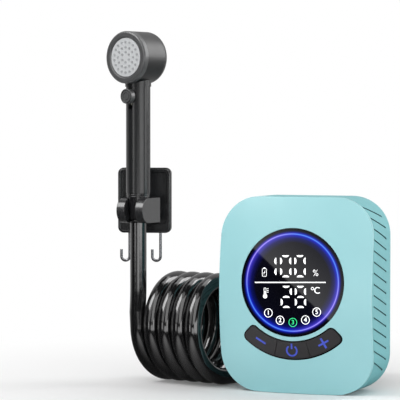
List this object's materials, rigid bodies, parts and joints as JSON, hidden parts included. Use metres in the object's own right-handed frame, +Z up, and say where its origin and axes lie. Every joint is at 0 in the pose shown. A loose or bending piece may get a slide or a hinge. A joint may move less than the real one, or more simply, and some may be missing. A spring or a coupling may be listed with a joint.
{
  "type": "camp shower pump",
  "caption": "Upright battery camp shower pump with round display and arc of keys, coiled hose on its side, hand shower and wall holder with hooks.",
  "frame": {"origin": "middle of the pump's foot, on the floor", "axes": "-Y is the way the display faces, +Z up, +X to the display's right as seen from in front"},
  "size_m": [0.2412, 0.1713, 0.2977],
  "materials": {
    "teal_cover": "satin",
    "teal_shell": "fine texture",
    "black_rubber": "matt",
    "hose_rubber": "glossy",
    "display_glass": "glossy",
    "light_guide": "frosted",
    "display_black": "matt",
    "board_green": "satin",
    "key_plastic": "satin",
    "bezel_black": "glossy",
    "inner_plastic": "matt",
    "cell_wrap": "satin",
    "steel": "brushed",
    "impeller_plastic": "satin",
    "fitting_plastic": "satin",
    "handset_plastic": "satin",
    "handset_trim": "satin",
    "nozzle_face": "satin",
    "holder_plastic": "satin",
    "pad_foam": "matt"
  },
  "bodies": {
    "pump": {"front_cover": "teal_cover", "rear_shell": "teal_shell", "seam_gasket": "black_rubber", "display_lens": "display_glass", "light_ring": "light_guide", "display_module": "display_black", "control_board": "board_green", "key_switches": "steel", "board_screws": "steel", "key_bezel": "bezel_black", "battery_tray": "inner_plastic", "battery_cells": "cell_wrap", "motor": "steel", "shaft_seal": "black_rubber", "pump_casing": "inner_plastic", "casing_cover": "inner_plastic", "inlet_strainer": "fitting_plastic", "outlet_spigot": "fitting_plastic", "spigot_oring": "black_rubber", "outlet_nut": "fitting_plastic", "charge_socket": "fitting_plastic", "case_screws": "steel", "screw_plugs": "teal_shell", "hose_riser": "hose_rubber", "hose_coil": "hose_rubber", "hose_tail": "hose_rubber", "holder_plate": "holder_plastic", "holder_pad": "pad_foam", "tilt_pin": "steel", "holder_hooks": "steel"},
    "minus_key": {"minus_key": "key_plastic"},
    "power_key": {"power_key": "key_plastic"},
    "plus_key": {"plus_key": "key_plastic"},
    "rotor": {"motor_shaft": "steel", "impeller": "impeller_plastic"},
    "charge_cover": {"charge_cover": "black_rubber"},
    "cradle": {"cradle": "handset_trim"},
    "handset": {"handle": "handset_plastic", "head_shell": "handset_plastic", "head_ring": "handset_trim", "head_gasket": "black_rubber", "nozzle_plate": "nozzle_face", "hose_nut": "handset_plastic", "nut_washer": "black_rubber"},
    "stop_slider": {"stop_slider": "key_plastic", "valve_spool": "impeller_plastic"}
  },
  "joints": [
    {"name": "minus_press", "type": "slide", "parent": "pump", "child": "minus_key", "axis": [0, 0.9991, -0.0433], "range_m": [0, 0.0006], "stiffness_N_per_m": 2000},
    {"name": "power_press", "type": "slide", "parent": "pump", "child": "power_key", "axis": [0, 0.9991, -0.0433], "range_m": [0, 0.0006], "stiffness_N_per_m": 2000},
    {"name": "plus_press", "type": "slide", "parent": "pump", "child": "plus_key", "axis": [0, 0.9991, -0.0433], "range_m": [0, 0.0006], "stiffness_N_per_m": 2000},
    {"name": "rotor_spin", "type": "hinge", "parent": "pump", "child": "rotor", "pos_m": [0.004, 0.0151, 0.05], "axis": [0, 1, 0], "continuous": true},
    {"name": "charge_cover_open", "type": "hinge", "parent": "pump", "child": "charge_cover", "pos_m": [0.044, 0.0345, 0.106], "axis": [1, 0, 0], "range_deg": [0, 120]},
    {"name": "holder_tilt", "type": "hinge", "parent": "pump", "child": "cradle", "pos_m": [-0.15072, 0.01146, 0.147], "axis": [0.9744, 0.225, 0], "range_deg": [-10, 30], "deforming": ["hose_riser"]},
    {"name": "handset_turn", "type": "hinge", "parent": "cradle", "child": "handset", "pos_m": [-0.146, -0.009, 0.147], "axis": [0, 0, 1], "range_deg": [-90, 90]},
    {"name": "stop_slide", "type": "slide", "parent": "handset", "child": "stop_slider", "axis": [0, 0, -1], "range_m": [0, 0.008]}
  ]
}
